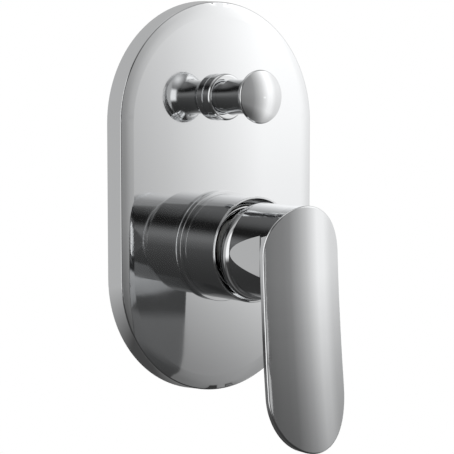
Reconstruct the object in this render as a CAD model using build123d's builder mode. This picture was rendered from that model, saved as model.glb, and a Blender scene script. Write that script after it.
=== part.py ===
from build123d import *
import math
import os

os.makedirs("parts", exist_ok=True)

# A concealed bath and shower mixer. The origin lies on the mixer's axis in the finished wall's plane.
# +X is to the right, +Z is up and the room is on the -Y side. A stand-off is a distance from the wall
# into the room, so a stand-off of 10 is at Y = -10, and the valve behind the wall has negative ones.

# Faceplate
PLATE_WIDTH = 117.0
PLATE_HEIGHT = 190.0
PLATE_EDGE = 10.1  # stand-off of the front face at its edge
PLATE_CROWN = 0.5  # rise of the flat middle above that edge
PLATE_BEVEL = 7.0  # width of the sloping margin
PLATE_BULGE = 0.12  # how much that margin is curved
PLATE_DRAFT = 0.8  # spread of the rim towards the wall
PLATE_WALL = 1.6
PLATE_EDGE_FILLET = 0.7
PLATE_RISE = 23.6  # plate centre above the mixer's axis
GASKET_WIDTH = 6.0
GASKET_DEPTH = 3.0

# Clearances
SEAT = 0.05  # pieces that are screwed, pushed or clamped together
RUN = 0.04  # shafts and pins that turn or slide
SWEEP = 0.3  # other surfaces that pass each other

# Sleeve and trim ring around the cartridge
SLEEVE_R = 25.4
SLEEVE_BORE_R = 24.3
SLEEVE_BACK = 2.0
SLEEVE_FRONT = 37.5
SLEEVE_LAND = (6.0, 18.0)  # threaded stretch
SLEEVE_LIP = 0.25
TRIM_RING_R = 27.1
TRIM_RING_DEPTH = 3.2
TRIM_RING_FILLET = 0.2
SLEEVE_SEAL_CORD = 2.0
PLATE_HOLE_GAP = 0.4
BASE_FILLET = 0.5  # where ring and flange meet the plate

# Cartridge, 35 mm across
CARTRIDGE_R = 17.45
CARTRIDGE_FOOT = 3.0
CARTRIDGE_SHOULDER = 21.0
CARTRIDGE_TOP = 40.5
NECK_R = 14.7
HOUSING_BORE_R = 15.5
CARRIER_R = 12.5
HOUSING_STEP = 20.0  # where the wide disc chamber ends
TOP_LIP = 1.8
TOP_OPENING_R = 11.0
BASE_DEPTH = 8.0
FIXED_DISC_DEPTH = 4.2
MOVING_DISC_DEPTH = 3.7
MOVING_DISC_R = 11.8
DISC_POCKET = (9.0, 3.6, 2.0)  # length, half height and depth of the mixing pocket
PORT_R = 3.2
PORT_RING_R = 8.0
PORT_SEAL_R = 4.6
PORT_SEAL_DEPTH = 2.0

# Lever pivot
PIVOT = 36.0
CLOSED_TILT = 5.0  # the closed stem points this far below level, in degrees
STEM_ARM = 12.0  # from pivot to the drive ball
STEM_ACROSS = 7.5
STEM_REACH = 25.0
STEM_TAIL = 7.0
BALL_R = 3.0
ARM_R = 2.2
PIN_R = 1.5
PIN_LENGTH = 22.0
CARRIER_BACK = 26.5
CARRIER_SLOT = 17.0
GUIDE_WIDTH = 8.0
GUIDE_THICKNESS = 2.2
DRIVER_WIDTH = 18.6
DRIVER_HEIGHT = 10.0
DRIVER_DEPTH = 6.4

# Cartridge nut and cap
SNOUT_R = 21.0
SNOUT_FRONT = 27.0
NUT_THREAD_R = 18.95
NUT_THREAD_BACK = 20.5
NUT_HEAD_R = 20.8  # over the hexagon's corners
NUT_HEAD_DEPTH = 4.0
CAP_WALL = 1.3
CAP_FILLET = 2.5

# Lever handle
SKIRT_BACK = 2.2  # stations along the tilted stem axis, from the pivot
SKIRT_CREST = 5.8
SKIRT_FRONT = 9.4
SKIRT_RIM_R = 22.4
SKIRT_R = 23.4
SKIRT_BORE_R = 18.4
SKIRT_BORE_DEPTH = 8.8
SKIRT_CONE_R = 9.0
SKIRT_CONE_DEPTH = 4.0
HANDLE_NECK_R = 22.4
HANDLE_NECK_RISE = 0.3
HANDLE_NECK_START = 43.0
SCOOP_START = 46.0  # stand-off where the flats on the neck's sides begin
SCOOP_HALF_WIDTH = 20.0
SCOOP_FLARE = 3.0
PADDLE_TOP_R = 22.7
PADDLE_HALF_WIDTH = 23.1
PADDLE_END_Z = -63.4  # where the rounded lower end starts
PADDLE_END_LENGTH = 27.0
PADDLE_SPINE = ((29.0, 69.4), (-33.5, 72.4), (-96.0, 79.1))  # height and stand-off of its edge line
PADDLE_TRIM = 0.4  # the swept section is this much wider than the outline
PADDLE_CROWN = 5.0
PADDLE_EDGE_DEPTH = 2.2
PADDLE_MIDDLE_DEPTH = 5.8
PADDLE_EDGE_FILLET = 0.8
GRUB_R = 2.5
GRUB_LENGTH = 8.0
GRUB_KEY = 2.5
GRUB_KEY_DEPTH = 3.0
GRUB_STATION = 56.0

# Diverter
DIVERTER_RISE = 72.6
FLANGE_R = 11.4
FLANGE_DEPTH = 5.6
FLANGE_FILLET = 1.4
NOSE_R = 7.4
NOSE_FRONT = 31.0
BONNET_FLANGE_R = 12.0
BONNET_FLANGE = (-6.0, -2.0)
BONNET_THREAD_R = 9.0
BONNET_BACK = -14.0
SPINDLE_R = 3.0
SPINDLE_BACK = -34.0
SPINDLE_FRONT = 38.0
STEM_SEAL_CORD = 1.8
STEM_SEALS = (1.0, 6.0)  # stand-offs of the two spindle seals
KNOB_BACK = 20.2
KNOB_SHANK_R = 8.7
KNOB_WAIST_R = 8.4
KNOB_WAIST = 29.0
KNOB_SHANK_FRONT = 33.0
KNOB_HEAD_R = 12.7
KNOB_HEAD_BACK = 39.9
KNOB_HEAD_EDGE = 41.7
KNOB_TOP = 44.1
KNOB_CAVITY = 32.0
KNOB_CHAMFER = 0.5
KNOB_GRUB_R = 1.5
KNOB_GRUB_LENGTH = 4.0
KNOB_GRUB_STATION = 35.0
KNOB_GRUB_KEY = 1.5
PISTON_R = 6.5
PISTON = (-32.0, -26.0)
PISTON_SEAL_R = 6.0
PISTON_SEAL_DEPTH = 1.5

# Brass valve behind the wall
CHAMBER_R = 25.0
CHAMBER = (-38.5, -8.0)
DIVERTER_CHAMBER_R = 15.0
DIVERTER_CHAMBER = (-50.0, -6.0)
CASTING_FILLET = 1.5
DIVERTER_BORE_R = 8.9
DIVERTER_FLOOR = -34.5
SEAT_HOLE_R = 4.5
INLET_DEPTH = 24.0  # behind the wall
INLET_REACH = 52.0
BYPASS_DEPTH = 44.0
BATH_REACH = 62.0
SHOWER_REACH = 112.0
PORT_BOSS_R = 13.0
THREAD_R = 9.3  # minor radius of a G 1/2 pipe thread
THREAD_LENGTH = 15.0
MOUTH_CHAMFER = 0.8
WATERWAY_R = 6.0
INLET_GAP = 4.0
DUCT_R = 9.5
LUG_SPACING = 66.0
LUG_Z = 36.0
LUG_HEIGHT = 18.0
LUG_DEPTH = (46.0, 52.0)
LUG_HOLE_R = 2.75

plate_face = PLATE_EDGE + PLATE_CROWN
mixer_axis = Axis((0, 0, 0), (0, 1, 0))
diverter_axis = Axis((0, 0, DIVERTER_RISE), (0, 1, 0))
mixer_section = Plane.XY
diverter_section = Plane.XY.offset(DIVERTER_RISE)


def section(inner, outer, back, front, mode=Mode.ADD):
    """Rectangle of a turned piece's half section, between two radii and two stand-offs."""
    with Locations(((inner + outer) / 2, -(back + front) / 2)):
        Rectangle(outer - inner, front - back, mode=mode)


def cord(centre_r, stand_off, diameter):
    """Round section of a sealing ring."""
    with Locations((centre_r, -stand_off)):
        Circle(diameter / 2)


def cap_point(half_chord, rise):
    """Point halfway along the arc from a dome's crown (0, rise) down to its edge (half_chord, 0)."""
    dome_r = (half_chord ** 2 + rise ** 2) / (2 * rise)
    turn = math.asin(half_chord / dome_r) / 2
    return dome_r * math.sin(turn), dome_r * math.cos(turn) - dome_r + rise


def front_edge(piece, place=-1):
    """Circular edge furthest into the room, the outermost one unless another place is asked for."""
    return piece.edges().filter_by(GeomType.CIRCLE).group_by(Axis.Y)[0].sort_by(SortBy.RADIUS)[place]


def back_edge(piece):
    """Outermost circular edge nearest the wall."""
    return piece.edges().filter_by(GeomType.CIRCLE).group_by(Axis.Y)[-1].sort_by(SortBy.RADIUS)[-1]


def finish(piece, name):
    """Names a finished piece and writes it."""
    piece.part.label = name
    export_step(piece.part, f"parts/{name}.step")


# Faceplate: one half section, drawn out over the straight middle and turned round both ends
half_width = PLATE_WIDTH / 2
end_offset = (PLATE_HEIGHT - PLATE_WIDTH) / 2
top_centre = PLATE_RISE + end_offset
bottom_centre = PLATE_RISE - end_offset


def plate_section(height):
    """Half section of the plate at one height, from its middle out to the rim."""
    bevel_start = (half_width - PLATE_BEVEL, -plate_face)
    bevel_middle = (half_width - PLATE_BEVEL / 2, PLATE_CROWN / 2 - plate_face - PLATE_BULGE)
    bevel_end = (half_width, -PLATE_EDGE)
    roof = PLATE_WALL - plate_face
    with BuildSketch(Plane.XY.offset(height)) as profile:
        with BuildLine():
            ThreePointArc(bevel_start, bevel_middle, bevel_end)
            Polyline(bevel_end, (half_width + PLATE_DRAFT, 0), (half_width - PLATE_WALL, 0),
                     (half_width - PLATE_WALL, roof), (0, roof), (0, -plate_face), bevel_start)
        make_face()
    return profile.sketch


with BuildPart() as faceplate:
    extrude(plate_section(bottom_centre), amount=2 * end_offset, dir=(0, 0, 1))
    mirror(about=Plane.YZ)
    revolve(plate_section(bottom_centre), axis=Axis((0, 0, bottom_centre), (0, 1, 0)), revolution_arc=180)
    revolve(plate_section(top_centre), axis=Axis((0, 0, top_centre), (0, -1, 0)), revolution_arc=180)
    at_edge = (-PLATE_EDGE - SEAT, -PLATE_EDGE + SEAT)
    fillet(faceplate.edges().filter_by_position(Axis.Y, *at_edge), PLATE_EDGE_FILLET)
    with BuildSketch(Plane.XZ):
        Circle(SLEEVE_R + PLATE_HOLE_GAP)
        with Locations((0, DIVERTER_RISE)):
            Circle(NOSE_R + PLATE_HOLE_GAP)
    extrude(amount=plate_face, mode=Mode.SUBTRACT)
finish(faceplate, "faceplate")

gasket_cut = 2 * (PLATE_WALL + SEAT)
gasket_width = PLATE_WIDTH - gasket_cut
gasket_height = PLATE_HEIGHT - gasket_cut
with BuildPart() as faceplate_gasket:
    with BuildSketch(Plane.XZ):
        with Locations((0, PLATE_RISE)):
            SlotOverall(gasket_height, gasket_width, rotation=90)
            SlotOverall(gasket_height - 2 * GASKET_WIDTH, gasket_width - 2 * GASKET_WIDTH, rotation=90,
                        mode=Mode.SUBTRACT)
    extrude(amount=GASKET_DEPTH)
finish(faceplate_gasket, "faceplate_gasket")

# Sleeve, its trim ring and the sealing ring between them
trim_middle = plate_face + TRIM_RING_DEPTH / 2
trim_bore_r = SLEEVE_R + SEAT
sleeve_seal_r = trim_bore_r - RUN - SLEEVE_SEAL_CORD / 2
sleeve_groove = SLEEVE_SEAL_CORD / 2 + SEAT
with BuildPart() as cartridge_sleeve:
    with BuildSketch(mixer_section):
        section(SLEEVE_BORE_R, SLEEVE_R, SLEEVE_BACK, SLEEVE_FRONT)
        section(SNOUT_R + SEAT, SLEEVE_R, *SLEEVE_LAND)
        section(sleeve_seal_r - sleeve_groove, SLEEVE_R, trim_middle - sleeve_groove,
                trim_middle + sleeve_groove, mode=Mode.SUBTRACT)
    revolve(axis=mixer_axis)
    fillet(front_edge(cartridge_sleeve), SLEEVE_LIP)
    chamfer(front_edge(cartridge_sleeve, 0), SLEEVE_LIP)
finish(cartridge_sleeve, "cartridge_sleeve")

with BuildPart() as sleeve_trim_ring:
    with BuildSketch(mixer_section):
        section(trim_bore_r, TRIM_RING_R, plate_face, plate_face + TRIM_RING_DEPTH)
    revolve(axis=mixer_axis)
    fillet(front_edge(sleeve_trim_ring), TRIM_RING_FILLET)
    fillet(back_edge(sleeve_trim_ring), BASE_FILLET)
finish(sleeve_trim_ring, "sleeve_trim_ring")

with BuildPart() as sleeve_o_ring:
    with BuildSketch(mixer_section):
        cord(sleeve_seal_r, trim_middle, SLEEVE_SEAL_CORD)
    revolve(axis=mixer_axis)
finish(sleeve_o_ring, "sleeve_o_ring")

# Nut that holds the cartridge in the valve's snout, and the chrome cap over it
nut_back = SNOUT_FRONT + SWEEP
nut_front = SNOUT_FRONT + NUT_HEAD_DEPTH
nut_bore_r = NECK_R + SEAT
with BuildPart() as cartridge_nut:
    with BuildSketch(Plane.XZ.offset(nut_back)):
        RegularPolygon(NUT_HEAD_R, 6)
    extrude(amount=nut_front - nut_back)
    with BuildSketch(Plane.XZ.offset(CARTRIDGE_SHOULDER)):
        Circle(NUT_THREAD_R)
    extrude(amount=nut_back - CARTRIDGE_SHOULDER)
    with BuildSketch(Plane.XZ.offset(CARTRIDGE_SHOULDER)):
        Circle(nut_bore_r)
    extrude(amount=nut_front - CARTRIDGE_SHOULDER, mode=Mode.SUBTRACT)
finish(cartridge_nut, "cartridge_nut")

cap_bore_r = NUT_HEAD_R + SEAT
with BuildPart() as cartridge_cap:
    with BuildSketch(mixer_section):
        section(cap_bore_r, cap_bore_r + CAP_WALL, nut_back, nut_front)
        section(NECK_R + SWEEP, cap_bore_r + CAP_WALL, nut_front, nut_front + CAP_WALL)
    revolve(axis=mixer_axis)
    fillet(front_edge(cartridge_cap), CAP_FILLET)
finish(cartridge_cap, "cartridge_cap")

# Cartridge, from its housing and foot up to the discs
disc_back = CARTRIDGE_FOOT + BASE_DEPTH
disc_split = disc_back + FIXED_DISC_DEPTH
moving_back = disc_split + RUN
moving_front = moving_back + MOVING_DISC_DEPTH
carrier_bore_r = CARRIER_R + RUN
carrier_front = CARTRIDGE_TOP - TOP_LIP - RUN
with BuildPart() as cartridge_housing:
    with BuildSketch(mixer_section):
        section(HOUSING_BORE_R, CARTRIDGE_R, CARTRIDGE_FOOT, HOUSING_STEP)
        section(carrier_bore_r, CARTRIDGE_R, HOUSING_STEP, CARTRIDGE_SHOULDER)
        section(carrier_bore_r, NECK_R, CARTRIDGE_SHOULDER, CARTRIDGE_TOP)
        section(TOP_OPENING_R, NECK_R, CARTRIDGE_TOP - TOP_LIP, CARTRIDGE_TOP)
    revolve(axis=mixer_axis)
finish(cartridge_housing, "cartridge_housing")

port_angles = (30, 150, 270)  # cold, hot and mixed water
port_places = [(PORT_RING_R * math.cos(math.radians(turn)), PORT_RING_R * math.sin(math.radians(turn)))
               for turn in port_angles]
with BuildPart() as cartridge_base:
    with BuildSketch(Plane.XZ.offset(CARTRIDGE_FOOT)):
        Circle(HOUSING_BORE_R - SEAT)
        with Locations(*port_places):
            Circle(PORT_R, mode=Mode.SUBTRACT)
    extrude(amount=BASE_DEPTH)
    with BuildSketch(Plane.XZ.offset(CARTRIDGE_FOOT)):
        with Locations(*port_places):
            Circle(PORT_SEAL_R + SEAT)
    extrude(amount=PORT_SEAL_DEPTH, mode=Mode.SUBTRACT)
finish(cartridge_base, "cartridge_base")

with BuildPart() as cartridge_seals:
    with BuildSketch(Plane.XZ.offset(CARTRIDGE_FOOT)):
        with Locations(*port_places):
            Circle(PORT_SEAL_R)
            Circle(PORT_R, mode=Mode.SUBTRACT)
    extrude(amount=PORT_SEAL_DEPTH)
finish(cartridge_seals, "cartridge_seals")

with BuildPart() as fixed_disc:
    with BuildSketch(Plane.XZ.offset(disc_back)):
        Circle(HOUSING_BORE_R - SEAT)
        with Locations(*port_places):
            Circle(PORT_R, mode=Mode.SUBTRACT)
    extrude(amount=FIXED_DISC_DEPTH)
finish(fixed_disc, "fixed_disc")

# The moving disc and its driver sit off the axis by the closed stem's tilt
tilt = math.radians(CLOSED_TILT)
disc_rise = STEM_ARM * math.sin(tilt)
pocket_length, pocket_half, pocket_depth = DISC_POCKET
with BuildPart() as moving_disc:
    with BuildSketch(Plane.XZ.offset(moving_back)):
        with Locations((0, disc_rise)):
            Circle(MOVING_DISC_R)
    extrude(amount=MOVING_DISC_DEPTH)
    with BuildSketch(Plane.XZ.offset(moving_back)):
        with Locations((0, disc_rise)):
            SlotOverall(pocket_length, 2 * pocket_half)
    extrude(amount=pocket_depth, mode=Mode.SUBTRACT)
finish(moving_disc, "moving_disc")

socket_depth = moving_front + DRIVER_DEPTH - (PIVOT - STEM_ARM - BALL_R - SWEEP)
with BuildPart() as disc_driver:
    with BuildSketch(Plane.XZ.offset(moving_front)):
        with Locations((0, disc_rise)):
            Rectangle(DRIVER_WIDTH, DRIVER_HEIGHT)
    extrude(amount=DRIVER_DEPTH)
    with BuildSketch(Plane.XZ.offset(moving_front + DRIVER_DEPTH)):
        with Locations((0, disc_rise)):
            Circle(BALL_R + SWEEP)
    extrude(amount=-socket_depth, mode=Mode.SUBTRACT)
finish(disc_driver, "disc_driver")

guide_x = DRIVER_WIDTH / 2 + RUN + GUIDE_THICKNESS / 2
guide_back = HOUSING_STEP + SWEEP
with BuildPart() as cartridge_carrier:
    with BuildSketch(Plane.XZ.offset(CARRIER_BACK)):
        Circle(CARRIER_R)
        Rectangle(STEM_ACROSS + 2 * RUN, CARRIER_SLOT, mode=Mode.SUBTRACT)
    extrude(amount=carrier_front - CARRIER_BACK)
    with BuildSketch(Plane.XZ.offset(guide_back)):
        with Locations((guide_x, 0), (-guide_x, 0)):
            Rectangle(GUIDE_THICKNESS, GUIDE_WIDTH)
    extrude(amount=CARRIER_BACK - guide_back)
    with BuildSketch(Plane.YZ):
        with Locations((-PIVOT, 0)):
            Circle(PIN_R + RUN)
    extrude(amount=PIN_LENGTH / 2 + SEAT, both=True, mode=Mode.SUBTRACT)
finish(cartridge_carrier, "cartridge_carrier")

with BuildPart() as pivot_pin:
    with BuildSketch(Plane.YZ):
        with Locations((-PIVOT, 0)):
            Circle(PIN_R)
    extrude(amount=PIN_LENGTH / 2, both=True)
finish(pivot_pin, "pivot_pin")

# Stem, on an axis through the pivot that points a little below level while the lever is closed
stem_dir = (0, -math.cos(tilt), -math.sin(tilt))
stem_plane = Plane(origin=(0, -PIVOT, 0), x_dir=(1, 0, 0), z_dir=stem_dir)
stem_section = Plane(origin=(0, -PIVOT, 0), x_dir=(1, 0, 0), z_dir=(0, math.sin(tilt), -math.cos(tilt)))
stem_axis = Axis((0, -PIVOT, 0), stem_dir)
with BuildPart() as lever_stem:
    with BuildSketch(stem_plane.offset(-STEM_TAIL)):
        Rectangle(STEM_ACROSS, STEM_ACROSS)
    extrude(amount=STEM_TAIL + STEM_REACH)
    with BuildSketch(stem_plane.offset(-STEM_ARM)):
        Circle(ARM_R)
    extrude(amount=STEM_ARM - STEM_TAIL)
    with Locations(stem_plane.offset(-STEM_ARM).location):
        Sphere(BALL_R)
    with BuildSketch(Plane.YZ):
        with Locations((-PIVOT, 0)):
            Circle(PIN_R + RUN)
    extrude(amount=STEM_ACROSS, both=True, mode=Mode.SUBTRACT)
finish(lever_stem, "lever_stem")

# Lever handle: neck with scooped sides, crowned paddle and a tilted skirt in one casting
with BuildLine(Plane.YZ) as paddle_spine:
    ThreePointArc(*[(-stand_off, height) for height, stand_off in PADDLE_SPINE])
blade_plane = Plane(origin=paddle_spine.line @ 0, x_dir=(1, 0, 0), z_dir=paddle_spine.line % 0)
blade_half = PADDLE_HALF_WIDTH + PADDLE_TRIM
blade_back = -PADDLE_EDGE_DEPTH
blade_core = blade_back / 2
neck_reach = PADDLE_SPINE[-1][1] - HANDLE_NECK_START
stem_drop = (GRUB_STATION - PIVOT) * math.tan(tilt)
stem_under = (STEM_ACROSS / 2 + GRUB_R * math.sin(tilt)) / math.cos(tilt)
grub_top = -stem_drop - stem_under - SEAT
grub_foot = grub_top - GRUB_LENGTH
spine_share = PADDLE_SPINE[0][0] / (PADDLE_SPINE[0][0] - PADDLE_SPINE[-1][0])
scoop_y = (paddle_spine.line @ spine_share).Y + PADDLE_EDGE_DEPTH  # the paddle's back at the mixer's axis
past_neck = 2 * HANDLE_NECK_R  # clear of the neck on every side
bore_front = SKIRT_BACK + SKIRT_BORE_DEPTH
bore_end = bore_front + SKIRT_CONE_DEPTH
down = ((0, -1), (0, -1))
with BuildPart() as lever_handle:
    with BuildSketch(Plane.XZ.offset(HANDLE_NECK_START)):
        with Locations((0, HANDLE_NECK_RISE)):
            Circle(HANDLE_NECK_R)
    extrude(amount=neck_reach)
    with BuildSketch(Plane.XY) as scoops:
        with BuildLine():
            Polyline((SCOOP_HALF_WIDTH, scoop_y), (HANDLE_NECK_R, -SCOOP_START), (past_neck, -SCOOP_START),
                     (past_neck, scoop_y), close=True)
        make_face()
        fillet(scoops.vertices().sort_by(Axis.X)[0], SCOOP_FLARE)
        mirror(about=Plane.YZ)
    extrude(amount=past_neck, both=True, mode=Mode.SUBTRACT)
    with BuildSketch(blade_plane):
        with BuildLine():
            ThreePointArc((-blade_half, blade_core), (0, PADDLE_CROWN / 2), (blade_half, blade_core))
            Polyline((blade_half, blade_core), (blade_half, neck_reach), (-blade_half, neck_reach),
                     (-blade_half, blade_core))
        make_face()
    sweep(path=paddle_spine.line, mode=Mode.SUBTRACT)
    with BuildSketch(blade_plane):
        with BuildLine():
            ThreePointArc((-blade_half, 0), (0, PADDLE_CROWN), (blade_half, 0))
            Line((blade_half, 0), (blade_half, blade_back))
            ThreePointArc((blade_half, blade_back), (0, PADDLE_CROWN - PADDLE_MIDDLE_DEPTH),
                          (-blade_half, blade_back))
            Line((-blade_half, blade_back), (-blade_half, 0))
        make_face()
    sweep(path=paddle_spine.line)
    with BuildSketch(Plane.XZ):
        with BuildLine():
            CenterArc((0, HANDLE_NECK_RISE), PADDLE_TOP_R, 0, 180)
            Spline((PADDLE_TOP_R, HANDLE_NECK_RISE), (PADDLE_HALF_WIDTH, PADDLE_END_Z), tangents=down)
            EllipticalCenterArc((0, PADDLE_END_Z), PADDLE_HALF_WIDTH, PADDLE_END_LENGTH, 180, arc_size=180)
            Spline((-PADDLE_TOP_R, HANDLE_NECK_RISE), (-PADDLE_HALF_WIDTH, PADDLE_END_Z), tangents=down)
        make_face()
    extrude(amount=HANDLE_NECK_START + 2 * neck_reach, mode=Mode.INTERSECT)
    paddle_front = lever_handle.faces().filter_by(GeomType.TORUS).sort_by(Axis.Y)[0]
    fillet(paddle_front.edges(), PADDLE_EDGE_FILLET)
    with BuildSketch(stem_section):
        with BuildLine():
            ThreePointArc((SKIRT_RIM_R, SKIRT_BACK), (SKIRT_R, SKIRT_CREST), (SKIRT_RIM_R, SKIRT_FRONT))
            Polyline((SKIRT_RIM_R, SKIRT_FRONT), (0, SKIRT_FRONT), (0, SKIRT_BACK),
                     (SKIRT_RIM_R, SKIRT_BACK))
        make_face()
    revolve(axis=stem_axis)
    with BuildSketch(stem_section):
        with BuildLine():
            Polyline((0, SKIRT_BACK), (SKIRT_BORE_R, SKIRT_BACK), (SKIRT_BORE_R, bore_front),
                     (SKIRT_CONE_R, bore_end), (0, bore_end), close=True)
        make_face()
    revolve(axis=stem_axis, mode=Mode.SUBTRACT)
    with BuildSketch(stem_plane):
        Rectangle(STEM_ACROSS + 2 * SEAT, STEM_ACROSS + 2 * SEAT)
    extrude(amount=STEM_REACH + SEAT, mode=Mode.SUBTRACT)
    with BuildSketch(Plane.XY):
        with Locations((0, -GRUB_STATION)):
            Circle(GRUB_R + SEAT)
    extrude(amount=-past_neck, mode=Mode.SUBTRACT)
finish(lever_handle, "lever_handle")

with BuildPart() as lever_grub_screw:
    with BuildSketch(Plane.XY.offset(grub_top)):
        with Locations((0, -GRUB_STATION)):
            Circle(GRUB_R)
    extrude(amount=-GRUB_LENGTH)
    with BuildSketch(Plane.XY.offset(grub_foot)):
        with Locations((0, -GRUB_STATION)):
            RegularPolygon(GRUB_KEY / 2, 6, major_radius=False)
    extrude(amount=GRUB_KEY_DEPTH, mode=Mode.SUBTRACT)
finish(lever_grub_screw, "lever_grub_screw")

# Diverter: flange nut, bonnet and sealing rings, and the knob that slides over the bonnet's nose
stem_seal_r = SPINDLE_R + RUN + STEM_SEAL_CORD / 2
stem_groove = STEM_SEAL_CORD / 2 + SEAT
bonnet_bore_r = SPINDLE_R + RUN
with BuildPart() as diverter_flange:
    with BuildSketch(diverter_section):
        section(NOSE_R + SEAT, FLANGE_R, plate_face, plate_face + FLANGE_DEPTH)
    revolve(axis=diverter_axis)
    fillet(front_edge(diverter_flange), FLANGE_FILLET)
    fillet(back_edge(diverter_flange), BASE_FILLET)
finish(diverter_flange, "diverter_flange")

with BuildPart() as diverter_bonnet:
    with BuildSketch(diverter_section):
        section(bonnet_bore_r, NOSE_R, BONNET_FLANGE[0], NOSE_FRONT)
        section(bonnet_bore_r, BONNET_THREAD_R, BONNET_BACK, BONNET_FLANGE[0])
        for place in STEM_SEALS:
            section(bonnet_bore_r, stem_seal_r + stem_groove, place - stem_groove, place + stem_groove,
                    mode=Mode.SUBTRACT)
    revolve(axis=diverter_axis)
    with BuildSketch(Plane.XZ.offset(BONNET_FLANGE[0])):
        with Locations((0, DIVERTER_RISE)):
            RegularPolygon(BONNET_FLANGE_R, 6)
            Circle(NOSE_R - SEAT, mode=Mode.SUBTRACT)
    extrude(amount=BONNET_FLANGE[1] - BONNET_FLANGE[0])
finish(diverter_bonnet, "diverter_bonnet")

with BuildPart() as diverter_o_rings:
    with BuildSketch(diverter_section):
        for place in STEM_SEALS:
            cord(stem_seal_r, place, STEM_SEAL_CORD)
    revolve(axis=diverter_axis)
finish(diverter_o_rings, "diverter_o_rings")

knob_bore_r = NOSE_R + SWEEP
head_lip = KNOB_HEAD_EDGE - KNOB_HEAD_BACK
flare_r = KNOB_HEAD_R - head_lip / 2
dome_half = KNOB_HEAD_R - head_lip / 4
dome_across, dome_up = cap_point(dome_half, KNOB_TOP - KNOB_HEAD_EDGE)
with BuildPart() as diverter_knob:
    with BuildSketch(diverter_section):
        with BuildLine():
            Polyline((knob_bore_r, -KNOB_BACK), (KNOB_SHANK_R - KNOB_CHAMFER, -KNOB_BACK),
                     (KNOB_SHANK_R, -KNOB_BACK - KNOB_CHAMFER))
            ThreePointArc((KNOB_SHANK_R, -KNOB_BACK - KNOB_CHAMFER), (KNOB_WAIST_R, -KNOB_WAIST),
                          (KNOB_SHANK_R, -KNOB_SHANK_FRONT))
            TangentArc((KNOB_SHANK_R, -KNOB_SHANK_FRONT), (flare_r, -KNOB_HEAD_BACK), tangent=(0, -1))
            ThreePointArc((flare_r, -KNOB_HEAD_BACK), (KNOB_HEAD_R, -KNOB_HEAD_EDGE + head_lip / 2),
                          (dome_half, -KNOB_HEAD_EDGE))
            ThreePointArc((dome_half, -KNOB_HEAD_EDGE), (dome_across, -KNOB_HEAD_EDGE - dome_up),
                          (0, -KNOB_TOP))
            Polyline((0, -KNOB_TOP), (0, -KNOB_CAVITY), (knob_bore_r, -KNOB_CAVITY),
                     (knob_bore_r, -KNOB_BACK))
        make_face()
        section(0, SPINDLE_R + SEAT, KNOB_CAVITY, SPINDLE_FRONT + SEAT, mode=Mode.SUBTRACT)
    revolve(axis=diverter_axis)
    with BuildSketch(Plane.XY.offset(DIVERTER_RISE)):
        with Locations((0, -KNOB_GRUB_STATION)):
            Circle(KNOB_GRUB_R + SEAT)
    extrude(amount=-KNOB_HEAD_R, mode=Mode.SUBTRACT)
finish(diverter_knob, "diverter_knob")

knob_grub_top = DIVERTER_RISE - SPINDLE_R - SEAT
with BuildPart() as knob_grub_screw:
    with BuildSketch(Plane.XY.offset(knob_grub_top)):
        with Locations((0, -KNOB_GRUB_STATION)):
            Circle(KNOB_GRUB_R)
    extrude(amount=-KNOB_GRUB_LENGTH)
    with BuildSketch(Plane.XY.offset(knob_grub_top - KNOB_GRUB_LENGTH)):
        with Locations((0, -KNOB_GRUB_STATION)):
            RegularPolygon(KNOB_GRUB_KEY / 2, 6, major_radius=False)
    extrude(amount=KNOB_GRUB_LENGTH / 2, mode=Mode.SUBTRACT)
finish(knob_grub_screw, "knob_grub_screw")

with BuildPart() as diverter_spindle:
    with BuildSketch(diverter_section):
        section(0, SPINDLE_R, SPINDLE_BACK, SPINDLE_FRONT)
    revolve(axis=diverter_axis)
finish(diverter_spindle, "diverter_spindle")

with BuildPart() as diverter_piston:
    with BuildSketch(diverter_section):
        section(SPINDLE_R + SEAT, PISTON_R, *PISTON)
    revolve(axis=diverter_axis)
finish(diverter_piston, "diverter_piston")

with BuildPart() as piston_seals:
    with BuildSketch(diverter_section):
        section(SPINDLE_R + SEAT, PISTON_SEAL_R, PISTON[0] - PISTON_SEAL_DEPTH, PISTON[0])
        section(SPINDLE_R + SEAT, PISTON_SEAL_R, PISTON[1], PISTON[1] + PISTON_SEAL_DEPTH)
    revolve(axis=diverter_axis)
finish(piston_seals, "piston_seals")

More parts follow.
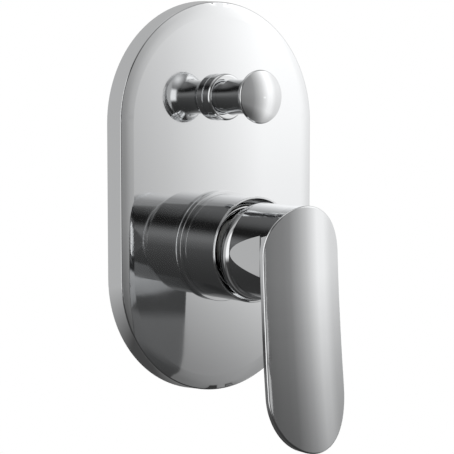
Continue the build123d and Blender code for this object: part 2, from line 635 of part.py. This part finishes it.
# Valve body: turned chambers and bosses joined in one casting, then bored
with BuildPart() as valve_body:
    with BuildSketch(mixer_section):
        section(0, SNOUT_R, CHAMBER[0], SNOUT_FRONT)
        section(0, CHAMBER_R, *CHAMBER)
    revolve(axis=mixer_axis)
    with BuildSketch(diverter_section):
        section(0, DIVERTER_CHAMBER_R, *DIVERTER_CHAMBER)
    revolve(axis=diverter_axis)
    corners = valve_body.edges().filter_by(GeomType.CIRCLE)
    for front in (CHAMBER[1], DIVERTER_CHAMBER[1]):
        fillet(corners.filter_by_position(Axis.Y, -front - SEAT, -front + SEAT), CASTING_FILLET)
    with BuildSketch(Plane.YZ):
        with Locations((INLET_DEPTH, 0)):
            Circle(PORT_BOSS_R)
    extrude(amount=INLET_REACH, both=True)
    with BuildSketch(Plane.XY):
        with Locations((0, INLET_DEPTH)):
            Circle(PORT_BOSS_R)
    extrude(amount=SHOWER_REACH)
    with BuildSketch(Plane.XY.offset(-BATH_REACH)):
        with Locations((0, BYPASS_DEPTH)):
            Circle(DUCT_R)
    extrude(amount=BATH_REACH + DIVERTER_RISE)
    with BuildSketch(Plane.XY.offset(-BATH_REACH)):
        with Locations((0, BYPASS_DEPTH)):
            Circle(PORT_BOSS_R)
    extrude(amount=THREAD_LENGTH + PORT_BOSS_R)
    with BuildSketch(Plane.XZ.offset(-LUG_DEPTH[1])):
        with Locations((0, LUG_Z)):
            SlotOverall(LUG_SPACING + LUG_HEIGHT, LUG_HEIGHT)
        with Locations((LUG_SPACING / 2, LUG_Z), (-LUG_SPACING / 2, LUG_Z)):
            Circle(LUG_HOLE_R, mode=Mode.SUBTRACT)
    extrude(amount=LUG_DEPTH[1] - LUG_DEPTH[0])
    with BuildSketch(mixer_section):
        section(0, CARTRIDGE_R + SEAT, CARTRIDGE_FOOT, SNOUT_FRONT)
        section(0, NUT_THREAD_R + SEAT, NUT_THREAD_BACK, SNOUT_FRONT)
    revolve(axis=mixer_axis, mode=Mode.SUBTRACT)
    with BuildSketch(diverter_section):
        section(0, BONNET_THREAD_R + SEAT, BONNET_BACK, BONNET_FLANGE[0])
        section(0, DIVERTER_BORE_R, DIVERTER_FLOOR, BONNET_BACK)
        section(0, SEAT_HOLE_R, -BYPASS_DEPTH, DIVERTER_FLOOR)
    revolve(axis=diverter_axis, mode=Mode.SUBTRACT)
    with BuildSketch(Plane.XZ.offset(CARTRIDGE_FOOT)):
        with Locations(*port_places):
            Circle(PORT_R)
    extrude(amount=-CARTRIDGE_FOOT - INLET_DEPTH, mode=Mode.SUBTRACT)
    for side in (1, -1):
        with BuildSketch(Plane.YZ.offset(side * INLET_REACH)):
            with Locations((INLET_DEPTH, 0)):
                Circle(THREAD_R)
        extrude(amount=-side * THREAD_LENGTH, mode=Mode.SUBTRACT)
        with BuildSketch(Plane.YZ.offset(side * INLET_REACH)):
            with Locations((INLET_DEPTH, 0)):
                Circle(WATERWAY_R)
        extrude(amount=-side * (INLET_REACH - INLET_GAP), mode=Mode.SUBTRACT)
    with BuildSketch(Plane.XY.offset(-PORT_RING_R)):
        with Locations((0, INLET_DEPTH)):
            Circle(PORT_R)
    extrude(amount=PORT_RING_R + DIVERTER_RISE, mode=Mode.SUBTRACT)
    for mouth, depth, reach in ((SHOWER_REACH, INLET_DEPTH, SHOWER_REACH - DIVERTER_RISE),
                                (-BATH_REACH, BYPASS_DEPTH, -BATH_REACH - DIVERTER_RISE)):
        with BuildSketch(Plane.XY.offset(mouth)):
            with Locations((0, depth)):
                Circle(THREAD_R)
        extrude(amount=-math.copysign(THREAD_LENGTH, mouth), mode=Mode.SUBTRACT)
        with BuildSketch(Plane.XY.offset(mouth)):
            with Locations((0, depth)):
                Circle(WATERWAY_R)
        extrude(amount=-reach, mode=Mode.SUBTRACT)
    rims = valve_body.edges().filter_by(GeomType.CIRCLE)
    for axis in (Axis.X, Axis.Z):
        across = rims.group_by(axis)
        chamfer(across[0] + across[-1], MOUTH_CHAMFER)
finish(valve_body, "valve_body")
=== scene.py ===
import math

import bpy
import numpy as np
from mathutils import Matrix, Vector

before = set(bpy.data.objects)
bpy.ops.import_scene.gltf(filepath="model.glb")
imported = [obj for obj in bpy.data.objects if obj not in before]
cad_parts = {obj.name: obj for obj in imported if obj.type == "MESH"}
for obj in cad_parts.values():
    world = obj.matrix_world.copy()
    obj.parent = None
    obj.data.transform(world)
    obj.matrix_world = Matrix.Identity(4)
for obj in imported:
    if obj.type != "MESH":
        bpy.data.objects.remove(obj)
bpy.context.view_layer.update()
MM = 0.001

# Real sizes of the patterns in the finishes
BUFFING_CLOUD = 14 * MM
CASTING_GRIT = 0.9 * MM
HEAT_STAIN = 18 * MM
LATHE_FEED = 0.25 * MM
WAVE_PERIOD = 2 * math.pi / 20  # distance between two bands of a wave texture at scale 1


def linear(code):
    """Linear colour of an sRGB hex code: each channel over 255, then the sRGB curve undone."""
    channels = np.array([int(code[i:i + 2], 16) for i in (1, 3, 5)]) / 255
    curve = np.where(channels <= 0.04045, channels / 12.92, ((channels + 0.055) / 1.055) ** 2.4)
    return (*curve.tolist(), 1.0)


def add(tree, kind, settings=None, **inputs):
    """Adds one node, sets its properties, and sets or links its inputs by name or number."""
    made = tree.nodes.new("ShaderNode" + kind)
    for name, value in (settings or {}).items():
        setattr(made, name, value)
    for name, value in inputs.items():
        place = int(name[1:]) if name[0] == "i" and name[1:].isdigit() else name.replace("_", " ")
        if isinstance(value, bpy.types.NodeSocket):
            tree.links.new(value, made.inputs[place])
        else:
            made.inputs[place].default_value = value
    return made


def new_material(name):
    """Empty node material with its Principled shader, ready for patterns."""
    material = bpy.data.materials.new(name)
    material.use_nodes = True
    tree = material.node_tree
    return material, tree, tree.nodes["Principled BSDF"]


def polished_chrome():
    """Chrome plated on buffed brass and zinc: a cool mirror, with the buffing wheel's faint clouds."""
    material, tree, shader = new_material("polished_chrome_plate")
    shader.inputs["Base Color"].default_value = linear("#E9EAEB")
    shader.inputs["Metallic"].default_value = 1.0
    place = add(tree, "TexCoord").outputs["Object"]
    # the clouds change the gloss a little
    clouds = add(tree, "TexNoise", Vector=place, Scale=1 / BUFFING_CLOUD, Detail=3.0)
    gloss = add(tree, "MapRange", Value=clouds.outputs["Fac"], From_Min=0.35, From_Max=0.65,
                To_Min=0.035, To_Max=0.075)
    tree.links.new(gloss.outputs["Result"], shader.inputs["Roughness"])
    return material


def cast_brass():
    """Hot-pressed brass with a fine blasted skin and brown heat stains in loose patches."""
    material, tree, shader = new_material("cast_brass")
    shader.inputs["Metallic"].default_value = 1.0
    place = add(tree, "TexCoord").outputs["Object"]
    grit = add(tree, "TexNoise", Vector=place, Scale=1 / CASTING_GRIT, Detail=4.0)
    stain = add(tree, "TexNoise", Vector=place, Scale=1 / HEAT_STAIN, Detail=3.0)
    tint = add(tree, "ValToRGB", Fac=stain.outputs["Fac"])
    tint.color_ramp.elements[0].position = 0.3
    tint.color_ramp.elements[0].color = linear("#A98648")
    tint.color_ramp.elements[1].position = 0.7
    tint.color_ramp.elements[1].color = linear("#D4B570")
    tree.links.new(tint.outputs["Color"], shader.inputs["Base Color"])
    gloss = add(tree, "MapRange", Value=grit.outputs["Fac"], To_Min=0.3, To_Max=0.5)
    tree.links.new(gloss.outputs["Result"], shader.inputs["Roughness"])
    skin = add(tree, "Bump", Height=grit.outputs["Fac"], Strength=0.25, Distance=0.08 * MM)
    tree.links.new(skin.outputs["Normal"], shader.inputs["Normal"])
    return material


def turned_metal(name, dark, light, roughness):
    """Bar turned on a lathe: fine rings round the piece, one feed apart, over a bright metal."""
    material, tree, shader = new_material(name)
    shader.inputs["Metallic"].default_value = 1.0
    place = add(tree, "TexCoord").outputs["Object"]
    rings = add(tree, "TexWave", {"wave_type": "BANDS", "bands_direction": "Y"}, Vector=place,
                Scale=WAVE_PERIOD / LATHE_FEED, Distortion=0.6, Detail=2.0)
    tint = add(tree, "ValToRGB", Fac=rings.outputs["Fac"])
    tint.color_ramp.elements[0].color = linear(dark)
    tint.color_ramp.elements[1].color = linear(light)
    tree.links.new(tint.outputs["Color"], shader.inputs["Base Color"])
    shader.inputs["Roughness"].default_value = roughness
    cut = add(tree, "Bump", Height=rings.outputs["Fac"], Strength=0.2, Distance=0.02 * MM)
    tree.links.new(cut.outputs["Normal"], shader.inputs["Normal"])
    return material


def moulded(name, dark, light, roughness, grain_mm, depth):
    """Moulded polymer, rubber, foam or pressed ceramic: two close shades in a fine grain."""
    material, tree, shader = new_material(name)
    place = add(tree, "TexCoord").outputs["Object"]
    grain = add(tree, "TexNoise", Vector=place, Scale=1 / (grain_mm * MM), Detail=3.0)
    tint = add(tree, "ValToRGB", Fac=grain.outputs["Fac"])
    tint.color_ramp.elements[0].position = 0.35
    tint.color_ramp.elements[0].color = linear(dark)
    tint.color_ramp.elements[1].position = 0.65
    tint.color_ramp.elements[1].color = linear(light)
    tree.links.new(tint.outputs["Color"], shader.inputs["Base Color"])
    shader.inputs["Roughness"].default_value = roughness
    skin = add(tree, "Bump", Height=grain.outputs["Fac"], Strength=depth, Distance=grain_mm * MM / 10)
    tree.links.new(skin.outputs["Normal"], shader.inputs["Normal"])
    return material


chrome = polished_chrome()
brass = cast_brass()
turned_brass = turned_metal("turned_brass", "#B08D4C", "#D9BC78", roughness=0.22)
turned_steel = turned_metal("turned_stainless_steel", "#8F9193", "#B9BBBD", roughness=0.25)
rubber = moulded("epdm_rubber", "#101011", "#1C1C1D", roughness=0.55, grain_mm=0.4, depth=0.2)
foam = moulded("closed_cell_foam", "#1B1B1C", "#323233", roughness=0.85, grain_mm=0.8, depth=0.7)
shell_plastic = moulded("acetal_cartridge_shell", "#D2D2CE", "#E2E2DE", roughness=0.4, grain_mm=0.5,
                        depth=0.1)
inner_plastic = moulded("glass_filled_nylon", "#1A1B1D", "#2A2B2E", roughness=0.5, grain_mm=0.5, depth=0.2)
ceramic = moulded("alumina_ceramic", "#E4E0D8", "#F1EEE8", roughness=0.2, grain_mm=0.6, depth=0.05)

FINISHES = (
    (chrome, "faceplate sleeve_trim_ring cartridge_sleeve cartridge_cap lever_handle diverter_flange "
             "diverter_bonnet diverter_knob"),
    (brass, "valve_body"),
    (turned_brass, "cartridge_nut lever_stem diverter_spindle diverter_piston"),
    (turned_steel, "pivot_pin lever_grub_screw knob_grub_screw"),
    (rubber, "sleeve_o_ring cartridge_seals piston_seals diverter_o_rings"),
    (foam, "faceplate_gasket"),
    (shell_plastic, "cartridge_housing cartridge_base"),
    (inner_plastic, "cartridge_carrier disc_driver"),
    (ceramic, "fixed_disc moving_disc"),
)
for finish, names in FINISHES:
    for name in names.split():
        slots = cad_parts[name].data.materials
        slots.clear()
        slots.append(finish)


def flat_sheet(name, corner, along, up, material):
    """Stage sheet: corner + a * along + b * up for a and b from 0 to 1."""
    a, b = np.meshgrid([0.0, 1.0], [0.0, 1.0])
    points = np.array(corner) + a[..., None] * np.array(along) + b[..., None] * np.array(up)
    mesh = bpy.data.meshes.new(name)
    mesh.from_pydata(points.reshape(-1, 3).tolist(), [], [(0, 1, 3, 2)])
    mesh.materials.append(material)
    sheet = bpy.data.objects.new(name, mesh)
    bpy.context.collection.objects.link(sheet)
    return sheet


def level_ramp(tree, value, limits, levels):
    """Ramp through (place, level) pairs, with the place scaled to 0..1 between two limits."""
    low, high = limits
    share = add(tree, "MapRange", Value=value, From_Min=low, From_Max=high)
    ramp = add(tree, "ValToRGB", Fac=share.outputs["Result"])
    stops = ramp.color_ramp.elements
    while len(stops) < len(levels):
        stops.new(0.5)
    for stop, (place, level) in zip(stops, levels):
        stop.position = (place - low) / (high - low)
        stop.color = (level, level, level, 1)
    return ramp.outputs["Color"]


# White wall that the plate is fixed on, and the floor, in metres
WALL_HALF = 0.16
WALL_GAP = 0.0004  # it lies this far behind the rim, so that the two faces don't mix
WALL_UP = (-0.17, 0.19)
# the wall's levels where the chrome reflects it, by height: painted shade, darker low down as if the part hid
# it from the light, with a painted dark band between -0.064 and -0.05 m
WALL_PAINTED_SHADE_LEVELS = ((-0.17, 0.05), (-0.118, 0.08), (-0.1, 0.14), (-0.071, 0.16), (-0.064, 0.07), (-0.05, 0.07),
               (-0.018, 0.5), (0.19, 0.5))
FLOOR_HALF = 2.0
FLOOR_HEIGHT = -0.26
FLOOR_FADE = (0.3, 0.55)  # distances from the origin between which the floor turns white
FLOOR_GLOW = 0.75  # how white it is before that


def white_wall_with_painted_shade():
    """Finished wall: white from the room, greyer in the chrome through painted shade by height, and clear
    from behind, where the valve is.
    """
    material, tree, _ = new_material("white_wall_with_painted_shade")
    seen = add(tree, "LightPath")
    rise = add(tree, "SeparateXYZ", Vector=add(tree, "TexCoord").outputs["Object"])
    # painted shade: the wall's level in reflections, by height, darker low down
    shade = level_ramp(tree, rise.outputs["Z"], WALL_UP, WALL_PAINTED_SHADE_LEVELS)
    level = add(tree, "MapRange", Value=seen.outputs["Is Camera Ray"], To_Min=shade, To_Max=1.0)
    white = add(tree, "Emission", Color=(1, 1, 1, 1), Strength=level.outputs["Result"])
    clear = add(tree, "BsdfTransparent")
    side = add(tree, "NewGeometry")
    cover = add(tree, "MixShader", i0=side.outputs["Backfacing"], i1=white.outputs[0], i2=clear.outputs[0])
    tree.links.new(cover.outputs[0], tree.nodes["Material Output"].inputs["Surface"])
    return material


def pale_floor():
    """Plain matt studio floor that runs out into the white of the room."""
    material, tree, shader = new_material("pale_floor")
    shader.inputs["Base Color"].default_value = linear("#EDEDED")
    shader.inputs["Roughness"].default_value = 0.9
    place = add(tree, "TexCoord").outputs["Object"]
    reach = add(tree, "VectorMath", {"operation": "LENGTH"}, i0=place)
    far = add(tree, "MapRange", {"interpolation_type": "SMOOTHSTEP"}, Value=reach.outputs["Value"],
              From_Min=FLOOR_FADE[0], From_Max=FLOOR_FADE[1], To_Min=FLOOR_GLOW)
    white = add(tree, "Emission", Color=(1, 1, 1, 1), Strength=1.0)
    cover = add(tree, "MixShader", i0=far.outputs["Result"], i1=shader.outputs[0], i2=white.outputs[0])
    tree.links.new(cover.outputs[0], tree.nodes["Material Output"].inputs["Surface"])
    return material


flat_sheet("wall_panel", (-WALL_HALF, WALL_GAP, WALL_UP[0]), (2 * WALL_HALF, 0, 0),
           (0, 0, WALL_UP[1] - WALL_UP[0]), white_wall_with_painted_shade())
floor = flat_sheet("studio_floor", (-FLOOR_HALF, -FLOOR_HALF, FLOOR_HEIGHT), (2 * FLOOR_HALF, 0, 0),
                   (0, 2 * FLOOR_HALF, 0), pale_floor())
floor.visible_glossy = False

# A lit board on the right, drawn by its distance from the origin, its bearing, and levels across and up
BOARD_BEARING = math.radians(60)
BOARD_ALONG = np.array([math.cos(BOARD_BEARING), math.sin(BOARD_BEARING), 0])
BOARD_DISTANCE = 0.28
BOARD_CENTRE = BOARD_DISTANCE * np.array([math.sin(BOARD_BEARING), -math.cos(BOARD_BEARING), 0])
BOARD_ACROSS = (-0.62, 0.16)
BOARD_UP = (-0.24, 0.36)
ACROSS_LEVELS = ((-0.62, 0.20), (-0.35, 0.25), (-0.28, 0.29), (-0.21, 0.46), (-0.16, 0.64), (-0.115, 0.90),
                 (-0.09, 1.06), (-0.05, 1.06), (0.0, 0.85), (0.16, 0.75))
UP_LEVELS = ((-0.24, 0.2), (-0.116, 0.38), (-0.075, 0.58), (-0.05, 0.74), (-0.02, 0.95), (0.02, 1.0),
             (0.12, 1.2), (0.36, 1.25))


def board_glow():
    """Paper board lit from one side: its glow is the product of a ramp across and a ramp up."""
    material, tree, _ = new_material("lit_board")
    place = add(tree, "TexCoord").outputs["Object"]
    across = add(tree, "VectorMath", {"operation": "DOT_PRODUCT"}, i0=place, i1=BOARD_ALONG)
    up = add(tree, "SeparateXYZ", Vector=place)
    glow = add(tree, "VectorMath", {"operation": "MULTIPLY"},
               i0=level_ramp(tree, across.outputs["Value"], BOARD_ACROSS, ACROSS_LEVELS),
               i1=level_ramp(tree, up.outputs["Z"], BOARD_UP, UP_LEVELS))
    light = add(tree, "Emission", Color=glow.outputs[0], Strength=1.0)
    tree.links.new(light.outputs[0], tree.nodes["Material Output"].inputs["Surface"])
    return material


board = flat_sheet("light_board", BOARD_CENTRE + BOARD_ACROSS[0] * BOARD_ALONG + (0, 0, BOARD_UP[0]),
                   (BOARD_ACROSS[1] - BOARD_ACROSS[0]) * BOARD_ALONG, (0, 0, BOARD_UP[1] - BOARD_UP[0]),
                   board_glow())
board.visible_camera = False
board.visible_shadow = False

# Studio round the object, by bearing from straight in front (right is positive) and height, in degrees:
# bearing, height, half width, half height, softness, level
PANELS = (
    (-26, 27, 24, 8, 6, 0.016),  # dark card
    (110, 0, 52, 38, 10, 0.9),  # right panel
    (-95, 10, 32, 27, 8, 1.1),  # left panel
    (8, 0, 16, 14, 6, 0.6),  # front panel
)
# height and level of the studio's walls between the panels
SKY = ((-90, 0.03), (-37, 0.042), (-18, 0.06), (-5, 0.083), (4, 0.14), (10, 0.19), (20, 0.16), (40, 0.14),
       (60, 0.4), (90, 1.0))


def studio_world():
    """Studio walls at a distance: a ramp by height with soft-edged panels over it. The camera sees white."""
    world = bpy.data.worlds.new("studio")
    bpy.context.scene.world = world
    world.use_nodes = True
    tree = world.node_tree
    tree.nodes.clear()
    ray = add(tree, "SeparateXYZ", Vector=add(tree, "TexCoord").outputs["Generated"])
    ahead = add(tree, "Math", {"operation": "MULTIPLY"}, i0=ray.outputs["Y"], i1=-1.0)
    turn = add(tree, "Math", {"operation": "ARCTAN2"}, i0=ray.outputs["X"], i1=ahead.outputs[0])
    bearing = add(tree, "Math", {"operation": "DEGREES"}, i0=turn.outputs[0]).outputs[0]
    rise = add(tree, "Math", {"operation": "ARCSINE"}, i0=ray.outputs["Z"])
    height = add(tree, "Math", {"operation": "DEGREES"}, i0=rise.outputs[0]).outputs[0]
    light = level_ramp(tree, height, (-90, 90), SKY)
    for panel_bearing, panel_height, half_width, half_height, soft, level in PANELS:
        masks = []
        spans = ((bearing, panel_bearing, half_width), (height, panel_height, half_height))
        for value, middle, half in spans:
            off = add(tree, "Math", {"operation": "SUBTRACT"}, i0=value, i1=float(middle))
            size = add(tree, "Math", {"operation": "ABSOLUTE"}, i0=off.outputs[0])
            inside = add(tree, "MapRange", {"interpolation_type": "SMOOTHSTEP"}, Value=size.outputs[0],
                         From_Min=float(half + soft), From_Max=float(half - soft))
            masks.append(inside.outputs["Result"])
        both = add(tree, "Math", {"operation": "MULTIPLY"}, i0=masks[0], i1=masks[1])
        light = add(tree, "Mix", {"data_type": "RGBA"}, i0=both.outputs[0], i6=light,
                    i7=(level, level, level, 1)).outputs[2]
    studio = add(tree, "Background", Color=light, Strength=1.0)
    white = add(tree, "Background", Color=(1, 1, 1, 1), Strength=1.0)
    seen = add(tree, "LightPath")
    either = add(tree, "Math", {"operation": "MAXIMUM"}, i0=seen.outputs["Is Camera Ray"],
                 i1=seen.outputs["Is Transmission Ray"])
    final = add(tree, "MixShader", i0=either.outputs[0], i1=studio.outputs[0], i2=white.outputs[0])
    add(tree, "OutputWorld", Surface=final.outputs[0])


studio_world()


# Place and aim in metres, sensor and lens in millimetres
CAMERA_PLACE = np.array([-0.4442, -0.5798, 0.0706])
CAMERA_AIM = np.array([0.01218, 0.0, 0.00771])
CAMERA_SENSOR = 36.0
CAMERA_LENS = 117.13


def photo_camera():
    """Long lens from the left, a little above the mixer's axis."""
    data = bpy.data.cameras.new("photo_camera")
    data.sensor_width = CAMERA_SENSOR
    data.lens = CAMERA_LENS
    camera = bpy.data.objects.new("photo_camera", data)
    bpy.context.collection.objects.link(camera)
    camera.location = CAMERA_PLACE
    camera.rotation_mode = "QUATERNION"
    camera.rotation_quaternion = Vector(CAMERA_AIM - CAMERA_PLACE).to_track_quat("-Z", "Y")
    bpy.context.scene.camera = camera


photo_camera()
bpy.context.scene.view_settings.view_transform = "Standard"
